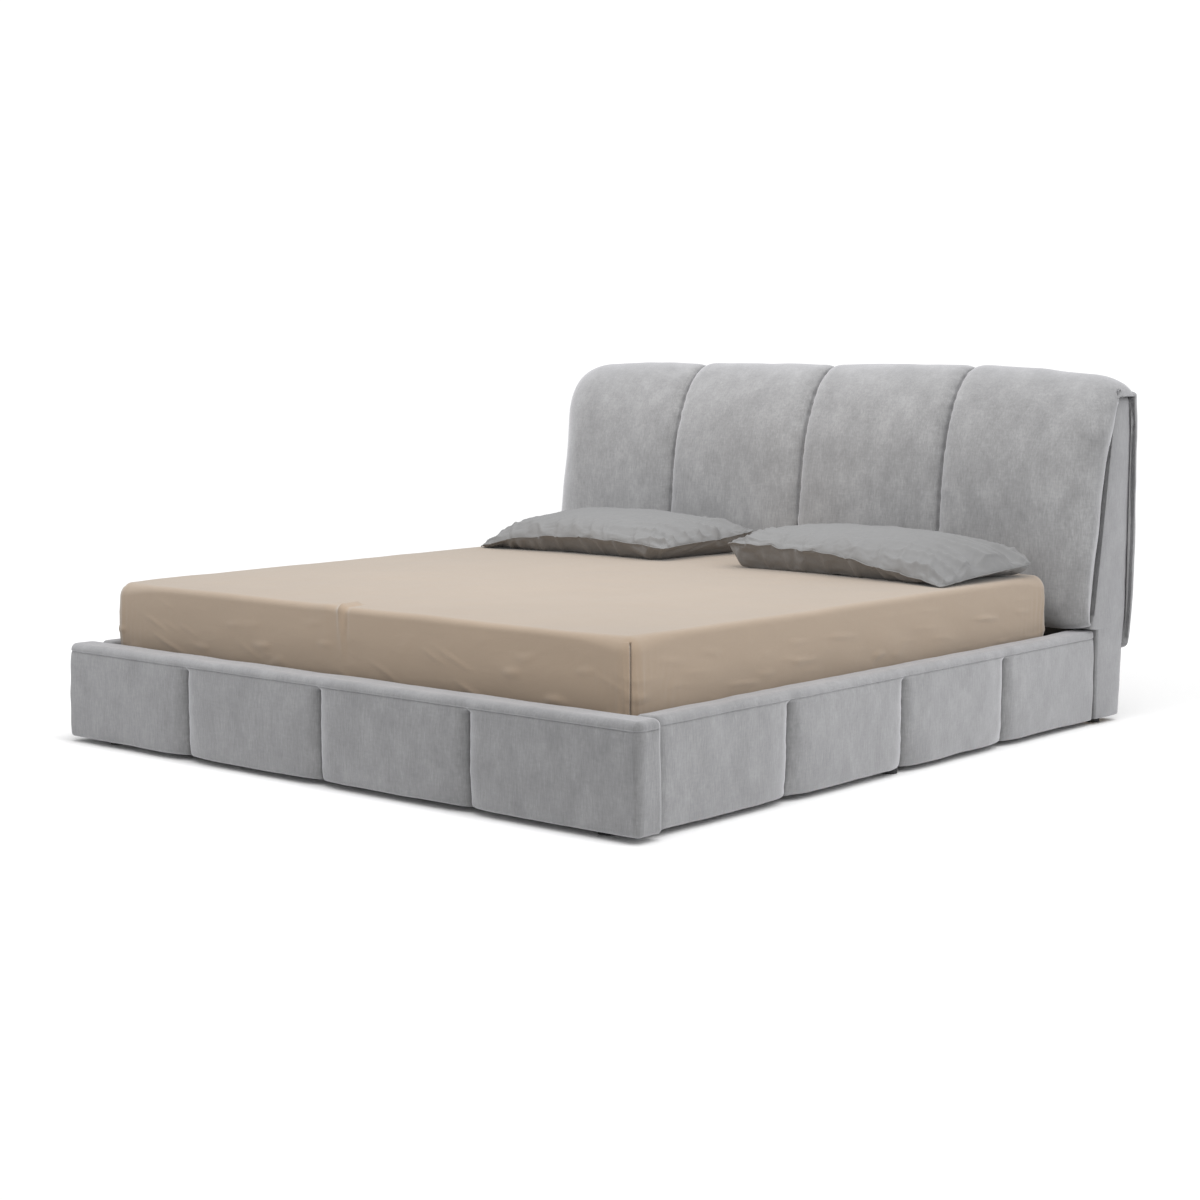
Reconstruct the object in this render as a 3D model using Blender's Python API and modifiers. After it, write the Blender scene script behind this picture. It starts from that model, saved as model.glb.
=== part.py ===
"""Upholstered king-size bed: padded rails, draped headboard, slatted base, mattress and pillows.

Frame: X across the bed, +Y towards the headboard, +Z up, origin on the floor at the middle of
the bed's footprint. Metres. Outlines in the YZ plane are given as (distance from the foot end,
height above the rails' lower edge), and section() moves them into this frame.
"""
import math

import bmesh
import bpy
from mathutils import Matrix

# Overall
WIDTH = 2.20
LENGTH = 2.45
FLOOR_GAP = 0.025          # the rails' lower edge above the floor
CLEARANCE = 0.0003         # between pieces that touch
FOOT_Y = -LENGTH / 2       # the foot end's outer face

# Padded rails
RAIL_HEIGHT = 0.27
FOOT_RAIL_DEPTH = 0.095
SIDE_RAIL_DEPTH = 0.077
SIDE_RAIL_INNER_X = 1.003
SIDE_RAIL_START = 0.0955
SIDE_RAIL_END = 2.234
PANELS = 4                 # padded panels on each rail and on the headboard
RAIL_SEAM_DEPTH = 0.016
RAIL_END_ROUND = 0.022
RAIL_PADDING = 0.022
SQUARENESS = 0.24          # of the rails' section: 1 is an ellipse, 0 a rectangle
RAIL_SKIN = 0.008

# Headboard
CORE_HALF_WIDTH = 1.087
CORE_FRONT = 2.237
CORE_STEP_HEIGHT = 0.276
CORE_TOP = 0.985
SKIN = 0.006
PANEL_BOARD = 0.009
POST_WIDTH = 0.06
POST_INSET = 0.011         # the posts stand clear of the cover's rounded lower corners
CUSHION_BOTTOM = 0.281
CUSHION_END_ROUND = 0.12
PAD_BOTTOM = 0.195
SEAM_VALLEY = 0.09         # where the dip beside each seam levels out, as a share of a panel

# Mattress and slatted base
MATTRESS_HALF_WIDTH = 0.995
MATTRESS_FRONT = 0.101
MATTRESS_BACK = 2.093
MATTRESS_BOTTOM = 0.197
MATTRESS_TOP = 0.4475
MATTRESS_ROUND = 0.042
SHEET_THICKNESS = 0.002
SLAT_ROWS = 11
SLAT_WIDTH = 0.085
SLAT_THICKNESS = 0.0174
SLAT_FIRST = 0.19
SLAT_PITCH = 0.186
BEARER_SIZE = 0.04
BEAM_WIDTH = 0.06
BEAM_HEIGHT = 0.07
LEG_RADIUS = 0.02
FOOT_RADIUS = 0.024
STEEL = 0.004

# Pillows
PILLOW_LENGTH = 0.86
PILLOW_DEPTH = 0.50
PILLOW_THICKNESS = 0.135
PILLOW_EDGE = 0.004

COLOURS = {
    # name: (red, green, blue, roughness, metallic)
    "grey_chenille": (0.36, 0.36, 0.37, 0.9, 0.0),
    "beige_sheet": (0.56, 0.45, 0.35, 0.85, 0.0),
    "grey_cotton": (0.36, 0.36, 0.355, 0.85, 0.0),
    "mattress_ticking": (0.80, 0.79, 0.76, 0.9, 0.0),
    "pine": (0.62, 0.45, 0.27, 0.6, 0.0),
    "birch_plywood": (0.70, 0.56, 0.38, 0.6, 0.0),
    "galvanised_steel": (0.55, 0.56, 0.57, 0.4, 0.9),
    "black_plastic": (0.03, 0.03, 0.03, 0.6, 0.0),
}


def clear_scene():
    for old in list(bpy.data.objects):
        bpy.data.objects.remove(old, do_unlink=True)


def new_collection(name):
    collection = bpy.data.collections.new(name)
    bpy.context.scene.collection.children.link(collection)
    return collection


def make_materials():
    made = {}
    for name, (red, green, blue, roughness, metallic) in COLOURS.items():
        material = bpy.data.materials.new(name)
        material.use_nodes = True
        shader = material.node_tree.nodes["Principled BSDF"]
        shader.inputs["Base Color"].default_value = (red, green, blue, 1.0)
        shader.inputs["Roughness"].default_value = roughness
        shader.inputs["Metallic"].default_value = metallic
        made[name] = material
    return made


clear_scene()
BED = new_collection("upholstered_bed")
CUTTERS = new_collection("cutters")
MATERIALS = make_materials()


def section(points):
    """Outline points, given from the foot end and the rails' lower edge, in the bed's frame."""
    return [(FOOT_Y + y, FLOOR_GAP + z) for y, z in points]


def mesh_object(name, mesh, material, smooth=True):
    mesh.name = name
    mesh.materials.clear()
    mesh.materials.append(MATERIALS[material])
    if smooth:
        mesh.shade_smooth()
        mesh.set_sharp_from_angle(angle=math.radians(35))
    piece = bpy.data.objects.new(name, mesh)
    BED.objects.link(piece)
    return piece


def round_edges(piece, width, segments=2):
    bevel = piece.modifiers.new("round", "BEVEL")
    bevel.width = width
    bevel.segments = segments
    bevel.limit_method = "ANGLE"
    bevel.angle_limit = math.radians(40)


def cube_mesh(name, low, high, open_bottom=False):
    """A box between two corners; without its lowest face if open_bottom."""
    size = [b - a for a, b in zip(low, high)]
    middle = [(a + b) / 2 for a, b in zip(low, high)]
    form = bmesh.new()
    bmesh.ops.create_cube(form, size=1.0)
    bmesh.ops.scale(form, vec=size, verts=form.verts)
    bmesh.ops.translate(form, vec=middle, verts=form.verts)
    if open_bottom:
        bottom = min(form.faces, key=lambda face: face.calc_center_median().z)
        bmesh.ops.delete(form, geom=[bottom], context="FACES_ONLY")
    mesh = bpy.data.meshes.new(name)
    form.to_mesh(mesh)
    form.free()
    return mesh


def box(name, low, high, material, bevel=0.0):
    piece = mesh_object(name, cube_mesh(name, low, high), material, smooth=False)
    if bevel:
        round_edges(piece, bevel)
    return piece


def bed_box(name, x, y, z, material, bevel=0.0):
    """A box from (low, high) pairs, y from the foot end and z from the rails' lower edge."""
    low = (x[0], FOOT_Y + y[0], FLOOR_GAP + z[0])
    high = (x[1], FOOT_Y + y[1], FLOOR_GAP + z[1])
    return box(name, low, high, material, bevel)


def cylinder(name, centre, radius, bottom, top, material, sides=20):
    form = bmesh.new()
    bmesh.ops.create_cone(form, cap_ends=True, segments=sides, radius1=radius, radius2=radius,
                          depth=top - bottom)
    mesh = bpy.data.meshes.new(name)
    form.to_mesh(mesh)
    form.free()
    piece = mesh_object(name, mesh, material)
    piece.location = (centre[0], centre[1], (bottom + top) / 2)
    return piece


def outline_mesh(name, points, low, high, turn):
    """The flat outline, extruded from low to high along its own Z and turned into place."""
    curve = bpy.data.curves.new(name, "CURVE")
    curve.dimensions = "2D"
    curve.fill_mode = "BOTH"
    curve.extrude = (high - low) / 2
    spline = curve.splines.new("POLY")
    spline.points.add(len(points) - 1)
    for point, (u, v) in zip(spline.points, points):
        point.co = (u, v, 0, 1)
    spline.use_cyclic_u = True
    guide = bpy.data.objects.new(name + "_outline", curve)
    CUTTERS.objects.link(guide)
    guide.matrix_world = turn @ Matrix.Translation((0, 0, (low + high) / 2))
    bpy.context.view_layer.update()
    evaluated = guide.evaluated_get(bpy.context.evaluated_depsgraph_get())
    mesh = bpy.data.meshes.new_from_object(evaluated)
    mesh.transform(guide.matrix_world)
    bpy.data.objects.remove(guide)
    form = bmesh.new()
    form.from_mesh(mesh)
    bmesh.ops.remove_doubles(form, verts=form.verts, dist=0.00001)
    bmesh.ops.recalc_face_normals(form, faces=form.faces)
    form.to_mesh(mesh)
    form.free()
    return mesh


ACROSS = Matrix(((0, 0, 1, 0), (1, 0, 0, 0), (0, 1, 0, 0), (0, 0, 0, 1)))   # outline in YZ, along X
UPWARD = Matrix.Identity(4)                                                # outline in XY, along Z
ALONG = Matrix(((1, 0, 0, 0), (0, 0, -1, 0), (0, 1, 0, 0), (0, 0, 0, 1)))  # outline in XZ, along -Y


def loft(name, rings, material):
    """A closed solid through rings with the same number of points, capped at both ends."""
    form = bmesh.new()
    rows = [[form.verts.new(point) for point in ring] for ring in rings]
    count = len(rings[0])
    for near, far in zip(rows, rows[1:]):
        for i in range(count):
            j = (i + 1) % count
            form.faces.new((near[i], near[j], far[j], far[i]))
    form.faces.new(list(reversed(rows[0])))
    form.faces.new(rows[-1])
    bmesh.ops.recalc_face_normals(form, faces=form.faces)
    mesh = bpy.data.meshes.new(name)
    form.to_mesh(mesh)
    form.free()
    return mesh_object(name, mesh, material)


def cut(piece, cutter_mesh):
    cutter = bpy.data.objects.new(piece.name + "_cutter", cutter_mesh)
    CUTTERS.objects.link(cutter)
    cutter.matrix_world = piece.matrix_world
    cutter.location = piece.location
    cutter.rotation_euler = piece.rotation_euler
    cutter.hide_render = True
    cutter.display_type = "WIRE"
    difference = piece.modifiers.new("hollow", "BOOLEAN")
    difference.operation = "DIFFERENCE"
    difference.solver = "EXACT"
    difference.object = cutter


def puff(share):
    """How full the padding is at a share of the whole width: 0 on a seam, 1 between seams."""
    across_panel = (share * PANELS) % 1.0
    from_seam = min(across_panel, 1.0 - across_panel)
    return min(1.0, math.sin(math.pi * min(from_seam / 0.42, 1.0) / 2)) ** 0.55


def panel_stations(half_width, end_round):
    """Places along a padded width: close together at the seams and round the two ends."""
    panel = 2 * half_width / PANELS
    steps = (0.0, 0.04, SEAM_VALLEY, 0.22, 0.5, 0.78, 1.0 - SEAM_VALLEY, 0.96)
    inner = [-half_width + panel * (i + step) for i in range(PANELS) for step in steps]
    inner = [x for x in inner if abs(x) < half_width - end_round * 1.2]
    turns = [end_round * (1 - math.sin(math.pi / 2 * k / 4)) for k in range(5)]
    left = [-half_width + turn for turn in reversed(turns)]
    right = [half_width - turn for turn in turns]
    return left + inner + right


def end_inset(x, half_width, end_round):
    """How far the surface draws in where the end is rounded."""
    past = max(0.0, abs(x) - (half_width - end_round))
    return end_round - math.sqrt(max(0.0, end_round ** 2 - past ** 2))


# Rails -----------------------------------------------------------------------------------------

def rail_ring(x, half_length, depth):
    """The rail's section at x: a flat inner face at y = 0 and a padded outer side towards -Y."""
    share = (x + half_length) / (2 * half_length)
    inset = end_inset(x, half_length, RAIL_END_ROUND)
    full = 1.0 if inset > 0 else puff(share)
    reach = depth - RAIL_SEAM_DEPTH * (1.0 - full) - inset
    half_height = RAIL_HEIGHT / 2 - 0.35 * inset
    ring = []
    for step in range(13):
        angle = math.radians(-90 + 15 * step)
        y = -reach * abs(math.cos(angle)) ** SQUARENESS
        z = math.copysign(abs(math.sin(angle)) ** SQUARENESS, math.sin(angle)) * half_height
        ring.append((x, y if 0 < step < 12 else 0.0, RAIL_HEIGHT / 2 + z))
    return ring


def padded_rail(name, length, depth, location, turn):
    """A timber board in a padded cover that is open towards the mattress."""
    half = length / 2
    rings = [rail_ring(x, half, depth) for x in panel_stations(half, RAIL_END_ROUND)]
    cover = loft(name + "_cover", rings, "grey_chenille")
    cover.location = location
    cover.rotation_euler = (0, 0, turn)
    end = half - RAIL_PADDING - 0.006
    board_low = (-end, -depth + RAIL_PADDING + 0.012, RAIL_SKIN + 0.006)
    board_high = (end, 0.0, RAIL_HEIGHT - RAIL_SKIN - 0.012)
    slot_low = [value - CLEARANCE for value in board_low]
    slot_high = [board_high[0] + CLEARANCE, 0.05, board_high[2] + CLEARANCE]
    cut(cover, cube_mesh(name + "_slot", slot_low, slot_high))
    board = box(name + "_board", board_low, board_high, "pine")
    board.location = location
    board.rotation_euler = (0, 0, turn)


def make_rails():
    foot_place = (0, FOOT_Y + FOOT_RAIL_DEPTH, FLOOR_GAP)
    padded_rail("foot_rail", WIDTH, FOOT_RAIL_DEPTH, foot_place, 0.0)
    side_length = SIDE_RAIL_END - SIDE_RAIL_START
    side_y = FOOT_Y + (SIDE_RAIL_START + SIDE_RAIL_END) / 2
    for side, turn, word in ((-1, -90, "left"), (1, 90, "right")):
        place = (side * SIDE_RAIL_INNER_X, side_y, FLOOR_GAP)
        padded_rail("side_rail_" + word, side_length, SIDE_RAIL_DEPTH, place, math.radians(turn))


# Headboard -------------------------------------------------------------------------------------

def core_front(z):
    """The sloping front of the headboard's core above the side rails."""
    return 2.195 + (z - CORE_STEP_HEIGHT) * 0.166


def core_outline(inset):
    """The core's side outline, drawn in by inset."""
    step = CORE_STEP_HEIGHT + inset
    top = CORE_TOP - inset
    return [
        (CORE_FRONT + inset, 0.0),
        (CORE_FRONT + inset, step),
        (core_front(step) + inset, step),
        (core_front(top) + inset, top),
        (2.400 - inset, top),
        (2.411 - inset, 0.86),
        (2.416 - inset, 0.62),
        (2.412 - inset, 0.38),
        (2.402 - inset, 0.20),
        (2.385 - inset, 0.03),
        (2.352 - inset, 0.0),
    ]


def make_core():
    outline = section(core_outline(0.0))
    mesh = outline_mesh("headboard_cover", outline, -CORE_HALF_WIDTH, CORE_HALF_WIDTH, ACROSS)
    cover = mesh_object("headboard_cover", mesh, "grey_chenille")
    hollow = core_outline(SKIN)
    hollow[0] = (hollow[0][0], -0.05)
    hollow[-1] = (hollow[-1][0], -0.05)
    half = CORE_HALF_WIDTH - SKIN
    round_edges(cover, 0.012, 3)
    cut(cover, outline_mesh("headboard_hollow", section(hollow), -half, half, ACROSS))


def make_headboard_frame():
    gap = SKIN + CLEARANCE
    inner_half = CORE_HALF_WIDTH - gap
    post = core_outline(gap + PANEL_BOARD + CLEARANCE)
    outer_face = inner_half - POST_INSET
    for side, word in ((-1, "left"), (1, "right")):
        ends = sorted((side * outer_face, side * (outer_face - POST_WIDTH)))
        mesh = outline_mesh("post", section(post), ends[0], ends[1], ACROSS)
        mesh_object("headboard_post_" + word, mesh, "pine", smooth=False)
    step = CORE_STEP_HEIGHT + gap
    top = CORE_TOP - gap
    board = [(core_front(step) + gap, step), (core_front(top) + gap, top),
             (core_front(top) + gap + PANEL_BOARD, top),
             (core_front(step) + gap + PANEL_BOARD, step)]
    mesh = outline_mesh("board", section(board), -inner_half, inner_half, ACROSS)
    mesh_object("headboard_front_board", mesh, "birch_plywood", smooth=False)
    reach = outer_face - POST_WIDTH - CLEARANCE
    beams = {"bottom": (0.03, 0.13, 2.256), "middle": (0.55, 0.62, 2.275), "top": (0.90, 0.96, 2.335)}
    for word, (low, high, front) in beams.items():
        bed_box("headboard_" + word + "_beam", (-reach, reach), (front, front + 0.045),
                (low, high), "pine")


# Side outlines of the front cushion's outer surface, bottom to top and over to the back
CUSHION_FULL = [(2.192, 0.281), (2.160, 0.296), (2.150, 0.350), (2.146, 0.460), (2.147, 0.570),
                (2.157, 0.720), (2.179, 0.850), (2.213, 0.950), (2.258, 1.022), (2.312, 1.068),
                (2.366, 1.085), (2.406, 1.074), (2.430, 1.040), (2.434, 1.012)]
CUSHION_SEAM = [(2.193, 0.281), (2.180, 0.296), (2.173, 0.350), (2.170, 0.460), (2.172, 0.570),
                (2.186, 0.720), (2.212, 0.850), (2.247, 0.946), (2.288, 1.012), (2.334, 1.053),
                (2.374, 1.068), (2.402, 1.060), (2.424, 1.036), (2.430, 1.012)]
CUSHION_RIM = [(2.198, 0.320), (2.184, 0.332), (2.186, 0.378), (2.198, 0.470), (2.214, 0.570),
               (2.236, 0.720), (2.256, 0.850), (2.278, 0.930), (2.304, 0.990), (2.336, 1.018),
               (2.372, 1.030), (2.396, 1.026), (2.410, 1.012), (2.416, 1.000)]
PAD_FULL = [(2.434, 1.003), (2.440, 0.900), (2.447, 0.730), (2.450, 0.540), (2.443, 0.360),
            (2.430, 0.250), (2.414, 0.200)]
PAD_SEAM = [(2.430, 1.001), (2.434, 0.900), (2.440, 0.730), (2.442, 0.540), (2.436, 0.360),
            (2.424, 0.250), (2.411, 0.203)]
PAD_RIM = [(2.418, 0.989), (2.425, 0.900), (2.429, 0.730), (2.431, 0.540), (2.426, 0.360),
           (2.417, 0.262), (2.408, 0.225)]


def blend(first, second, weight):
    return [(a[0] + (b[0] - a[0]) * weight, a[1] + (b[1] - a[1]) * weight)
            for a, b in zip(first, second)]


def padded_ring(x, outlines, inner, end_round):
    """The section of a padded piece at x, between its outer surface and its inner outline."""
    half = WIDTH / 2
    full, seam, rim = outlines
    share = (x + half) / WIDTH
    near_end = share < 0.5 / PANELS or share > 1 - 0.5 / PANELS
    outer = full if near_end else blend(seam, full, puff(share))
    inset = end_inset(x, half, end_round) / end_round
    outer = blend(outer, rim, inset)
    return [(x, y, z) for y, z in section(outer + inner)]


def padded_piece(name, outlines, inner, end_round):
    rings = []
    for x in panel_stations(WIDTH / 2, end_round):
        rings.append(padded_ring(x, outlines, inner, end_round))
    return loft(name, rings, "grey_chenille")


def make_cushion():
    """The front cushion, which folds over the core's top, and the pad that hangs down behind."""
    back = CLEARANCE * 3
    start = CUSHION_BOTTOM + 0.04
    inner = [(2.402, CORE_TOP + back), (2.36, CORE_TOP + back),
             (core_front(CORE_TOP) - back, CORE_TOP + back),
             (core_front(0.63) - back, 0.63), (core_front(start) - back, start)]
    padded_piece("headboard_cushion", (CUSHION_FULL, CUSHION_SEAM, CUSHION_RIM), inner,
                 CUSHION_END_ROUND)
    inner = [(2.4035 + back, PAD_BOTTOM + 0.035), (2.4125 + back, 0.38), (2.4165 + back, 0.62),
             (2.4115 + back, 0.86), (2.4045 + back, CORE_TOP - 0.006)]
    padded_piece("headboard_back_pad", (PAD_FULL, PAD_SEAM, PAD_RIM), inner, 0.02)


# Slatted base ----------------------------------------------------------------------------------

def make_base():
    slat_bottom = MATTRESS_BOTTOM - CLEARANCE - SLAT_THICKNESS
    support = slat_bottom - CLEARANCE
    inner_x = SIDE_RAIL_INNER_X - CLEARANCE
    for side, word in ((-1, "left"), (1, "right")):
        ends = sorted((side * inner_x, side * (inner_x - BEARER_SIZE)))
        bed_box("slat_bearer_" + word, ends, (0.20, 2.13), (support - BEARER_SIZE, support),
                "pine", bevel=0.002)
        slat = sorted((side * 0.003, side * (inner_x - 0.016)))
        for row in range(SLAT_ROWS):
            start = SLAT_FIRST + row * SLAT_PITCH
            bed_box("slat_%s_%02d" % (word, row + 1), slat, (start, start + SLAT_WIDTH),
                    (slat_bottom, slat_bottom + SLAT_THICKNESS), "birch_plywood")
    beam_ends = (FOOT_RAIL_DEPTH + CLEARANCE, CORE_FRONT - CLEARANCE)
    half_beam = BEAM_WIDTH / 2
    bed_box("centre_beam", (-half_beam, half_beam), beam_ends, (support - BEAM_HEIGHT, support),
            "pine")
    for number in range(3):
        y = FOOT_Y + 0.45 + number * 0.70
        cylinder("centre_leg_%d" % (number + 1), (0, y), LEG_RADIUS, 0.0,
                 FLOOR_GAP + support - BEAM_HEIGHT - CLEARANCE, "black_plastic")
    make_hangers(support - BEAM_HEIGHT)


def make_hangers(beam_bottom):
    """Steel saddles that hold the centre beam's ends."""
    inside = BEAM_WIDTH / 2 + CLEARANCE
    outside = inside + STEEL
    bottom = FLOOR_GAP + beam_bottom - CLEARANCE
    top = bottom + 0.055
    saddle = [(-outside, bottom - STEEL), (outside, bottom - STEEL), (outside, top), (inside, top),
              (inside, bottom), (-inside, bottom), (-inside, top), (-outside, top)]
    foot_end = -(FOOT_Y + FOOT_RAIL_DEPTH + CLEARANCE)
    head_end = -(FOOT_Y + CORE_FRONT - CLEARANCE)
    for word, ends in (("foot", (foot_end - 0.05, foot_end)), ("head", (head_end, head_end + 0.05))):
        mesh = outline_mesh("hanger", saddle, ends[0], ends[1], ALONG)
        mesh_object("beam_hanger_" + word, mesh, "galvanised_steel", smooth=False)


def make_brackets():
    """Steel angles in the four corners, joining each side rail to the foot rail or headboard."""
    rail = SIDE_RAIL_INNER_X - CLEARANCE
    for word, face, reach in (("foot", FOOT_RAIL_DEPTH + CLEARANCE, 0.10),
                              ("head", CORE_FRONT - CLEARANCE, -0.10)):
        steel = math.copysign(STEEL, reach)
        corner = [(rail - 0.075, face), (rail, face), (rail, face + reach),
                  (rail - STEEL, face + reach), (rail - STEEL, face + steel),
                  (rail - 0.075, face + steel)]
        for side, hand in ((-1, "left"), (1, "right")):
            points = [(side * x, FOOT_Y + y) for x, y in corner]
            mesh = outline_mesh("bracket", points, FLOOR_GAP + 0.03, FLOOR_GAP + 0.12, UPWARD)
            mesh_object("corner_bracket_%s_%s" % (word, hand), mesh, "galvanised_steel",
                        smooth=False)


def make_feet():
    post_x = CORE_HALF_WIDTH - SKIN - POST_INSET - POST_WIDTH / 2
    places = {"front": (0.95, 0.068), "middle": (1.032, 1.165), "rear": (post_x, 2.300)}
    for word, (x, y) in places.items():
        for side, hand in ((-1, "left"), (1, "right")):
            cylinder("foot_%s_%s" % (word, hand), (side * x, FOOT_Y + y), FOOT_RADIUS, 0.0,
                     FLOOR_GAP - CLEARANCE, "black_plastic")


# Bedding ---------------------------------------------------------------------------------------

def make_mattress():
    half = MATTRESS_HALF_WIDTH
    piece = bed_box("mattress", (-half, half), (MATTRESS_FRONT, MATTRESS_BACK),
                    (MATTRESS_BOTTOM, MATTRESS_TOP), "mattress_ticking")
    round_edges(piece, MATTRESS_ROUND, 4)
    grow = CLEARANCE
    low = (-half - grow, FOOT_Y + MATTRESS_FRONT - grow, FLOOR_GAP + MATTRESS_BOTTOM + 0.012)
    high = (half + grow, FOOT_Y + MATTRESS_BACK + grow, FLOOR_GAP + MATTRESS_TOP + grow)
    sheet = mesh_object("fitted_sheet", cube_mesh("fitted_sheet", low, high, open_bottom=True),
                        "beige_sheet")
    round_edges(sheet, MATTRESS_ROUND + grow, 4)
    thickness = sheet.modifiers.new("cloth", "SOLIDIFY")
    thickness.thickness = SHEET_THICKNESS
    thickness.offset = 1.0


def pillow_point(u, v, upper):
    """A point of a pillow lying flat: u and v run from -1 to 1, z from its underside."""
    fullness = ((1 - u ** 4) * (1 - v ** 4)) ** 0.5
    x = u * PILLOW_LENGTH / 2 * (1 - 0.05 * u * u * (1 - v * v))
    y = v * PILLOW_DEPTH / 2 * (1 - 0.06 * v * v * (1 - u * u))
    seam = PILLOW_THICKNESS * 0.36 * (1 - 0.6 * (u * v) ** 2)
    if upper:
        return x, y, seam + (PILLOW_THICKNESS - seam) * fullness + PILLOW_EDGE * (1 - fullness)
    return x, y, seam * (1 - fullness ** 0.7)


def make_pillow(name, centre, turn):
    columns, rows = 16, 10
    form = bmesh.new()
    grids = []
    for upper in (True, False):
        grid = [[form.verts.new(pillow_point(2 * i / columns - 1, 2 * j / rows - 1, upper))
                 for i in range(columns + 1)] for j in range(rows + 1)]
        grids.append(grid)
        for j in range(rows):
            for i in range(columns):
                quad = (grid[j][i], grid[j][i + 1], grid[j + 1][i + 1], grid[j + 1][i])
                form.faces.new(quad if upper else quad[::-1])
    border = [(0, i) for i in range(columns)] + [(j, columns) for j in range(rows)]
    border += [(rows, i) for i in range(columns, 0, -1)] + [(j, 0) for j in range(rows, 0, -1)]
    upper, lower = grids
    for (j, i), (n, m) in zip(border, border[1:] + border[:1]):
        form.faces.new((lower[j][i], lower[n][m], upper[n][m], upper[j][i]))
    mesh = bpy.data.meshes.new(name)
    form.to_mesh(mesh)
    form.free()
    piece = mesh_object(name, mesh, "grey_cotton")
    sheet_top = FLOOR_GAP + MATTRESS_TOP + CLEARANCE + SHEET_THICKNESS
    piece.location = (centre[0], FOOT_Y + centre[1], sheet_top + CLEARANCE)
    piece.rotation_euler = (0, 0, math.radians(turn))


make_rails()
make_core()
make_headboard_frame()
make_cushion()
make_base()
make_brackets()
make_feet()
make_mattress()
make_pillow("pillow_left", (-0.530, 1.840), -1.0)
make_pillow("pillow_right", (0.548, 1.795), -3.0)
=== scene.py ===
import math

import bmesh
import bpy
import numpy as np
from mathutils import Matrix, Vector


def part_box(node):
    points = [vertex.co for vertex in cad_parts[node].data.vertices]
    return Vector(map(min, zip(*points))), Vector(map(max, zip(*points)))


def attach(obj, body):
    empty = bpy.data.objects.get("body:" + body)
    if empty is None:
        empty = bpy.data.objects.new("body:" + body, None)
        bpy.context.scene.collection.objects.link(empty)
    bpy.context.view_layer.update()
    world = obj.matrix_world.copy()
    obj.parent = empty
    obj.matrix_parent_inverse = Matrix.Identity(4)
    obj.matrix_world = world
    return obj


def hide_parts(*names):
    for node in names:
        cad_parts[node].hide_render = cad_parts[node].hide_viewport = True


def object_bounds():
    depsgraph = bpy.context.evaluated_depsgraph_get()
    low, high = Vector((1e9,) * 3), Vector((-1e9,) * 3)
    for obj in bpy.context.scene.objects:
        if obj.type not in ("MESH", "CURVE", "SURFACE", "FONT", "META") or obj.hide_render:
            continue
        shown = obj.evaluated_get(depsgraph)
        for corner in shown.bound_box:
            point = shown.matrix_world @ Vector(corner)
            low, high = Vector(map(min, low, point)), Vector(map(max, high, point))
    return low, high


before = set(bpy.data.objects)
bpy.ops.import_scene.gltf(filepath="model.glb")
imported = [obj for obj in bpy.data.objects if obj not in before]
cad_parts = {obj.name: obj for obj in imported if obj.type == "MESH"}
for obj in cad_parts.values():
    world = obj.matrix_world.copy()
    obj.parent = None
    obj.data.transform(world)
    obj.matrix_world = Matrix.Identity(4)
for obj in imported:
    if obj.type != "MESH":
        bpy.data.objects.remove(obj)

CAD_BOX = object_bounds()
FOOT_Y = CAD_BOX[0][1]  # the foot end's outer face
FLOOR_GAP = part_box("foot_rail_cover")[0][2]  # the rails' lower edge above the floor

# Camera
CAMERA_PLACE = (4.409, -5.214, 1.169)
CAMERA_TURN = (83.56, 0.0, 40.65)  # degrees
CAMERA_LENS = 67.50  # millimetres, on a 36 mm sensor

# Upholstery
PANELS = 4  # on each rail and on the headboard
RAIL_TOP_ROUND = 0.019
RAIL_BOTTOM_ROUND = 0.011
RAIL_HANG = 0.009  # how far the fabric hangs below the timber
RAIL_SEAM_HEIGHT = 0.246  # of the seam along a rail, above its lower edge
RAIL_SEAM_DEPTH = 0.0235
RAIL_SEAM_WIDTH = 0.050  # from a seam to where the panel is full
RAIL_END_ROUND = 0.018  # in plan, at the foot rail's ends
RAIL_TUCK = 0.021  # how deep a side rail's ends turn in
RAIL_TUCK_WIDTH = 0.042
RAIL_REAR_TUCK = 0.005  # the same at the headboard
RAIL_REAR_TUCK_WIDTH = 0.008
PANEL_DOME = 0.0035  # how far a panel's middle stands out
PANEL_DOME_WIDTH = 0.13
GROOVE_DEPTH = 0.0030  # of the seam along a rail
GROOVE_WIDTH = 0.0019
CORNER_PANEL = 0.014  # how much wider the panels at the front corner are
CREASE_DEPTH = 0.004  # of the fine line along a seam
CREASE_WIDTH = 0.003


# Numbers ---------------------------------------------------------------------------------------

def about_z(angle):
    return np.array([[math.cos(angle), -math.sin(angle), 0], [math.sin(angle), math.cos(angle), 0],
                     [0, 0, 1]])


def smoothstep(value, start, end):
    t = np.clip((value - start) / (end - start), 0.0, 1.0)
    return t * t * (3 - 2 * t)


def ripple(points, wavelength, seed, waves=9, stretch=(1, 1, 1)):
    """Smooth seeded noise of about unit size, made of sine waves in several directions."""
    random = np.random.RandomState(seed)
    directions = random.normal(size=(waves, 3))
    directions /= np.linalg.norm(directions, axis=1)[:, None]
    rates = 2 * np.pi / wavelength * random.uniform(0.6, 1.5, waves)
    phases = random.uniform(0, 2 * np.pi, waves)
    scaled = points / np.array(stretch)
    total = np.zeros(len(points))
    for direction, rate, phase in zip(directions, rates, phases):
        total += np.sin(scaled @ direction * rate + phase)
    return total / math.sqrt(waves)


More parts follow.
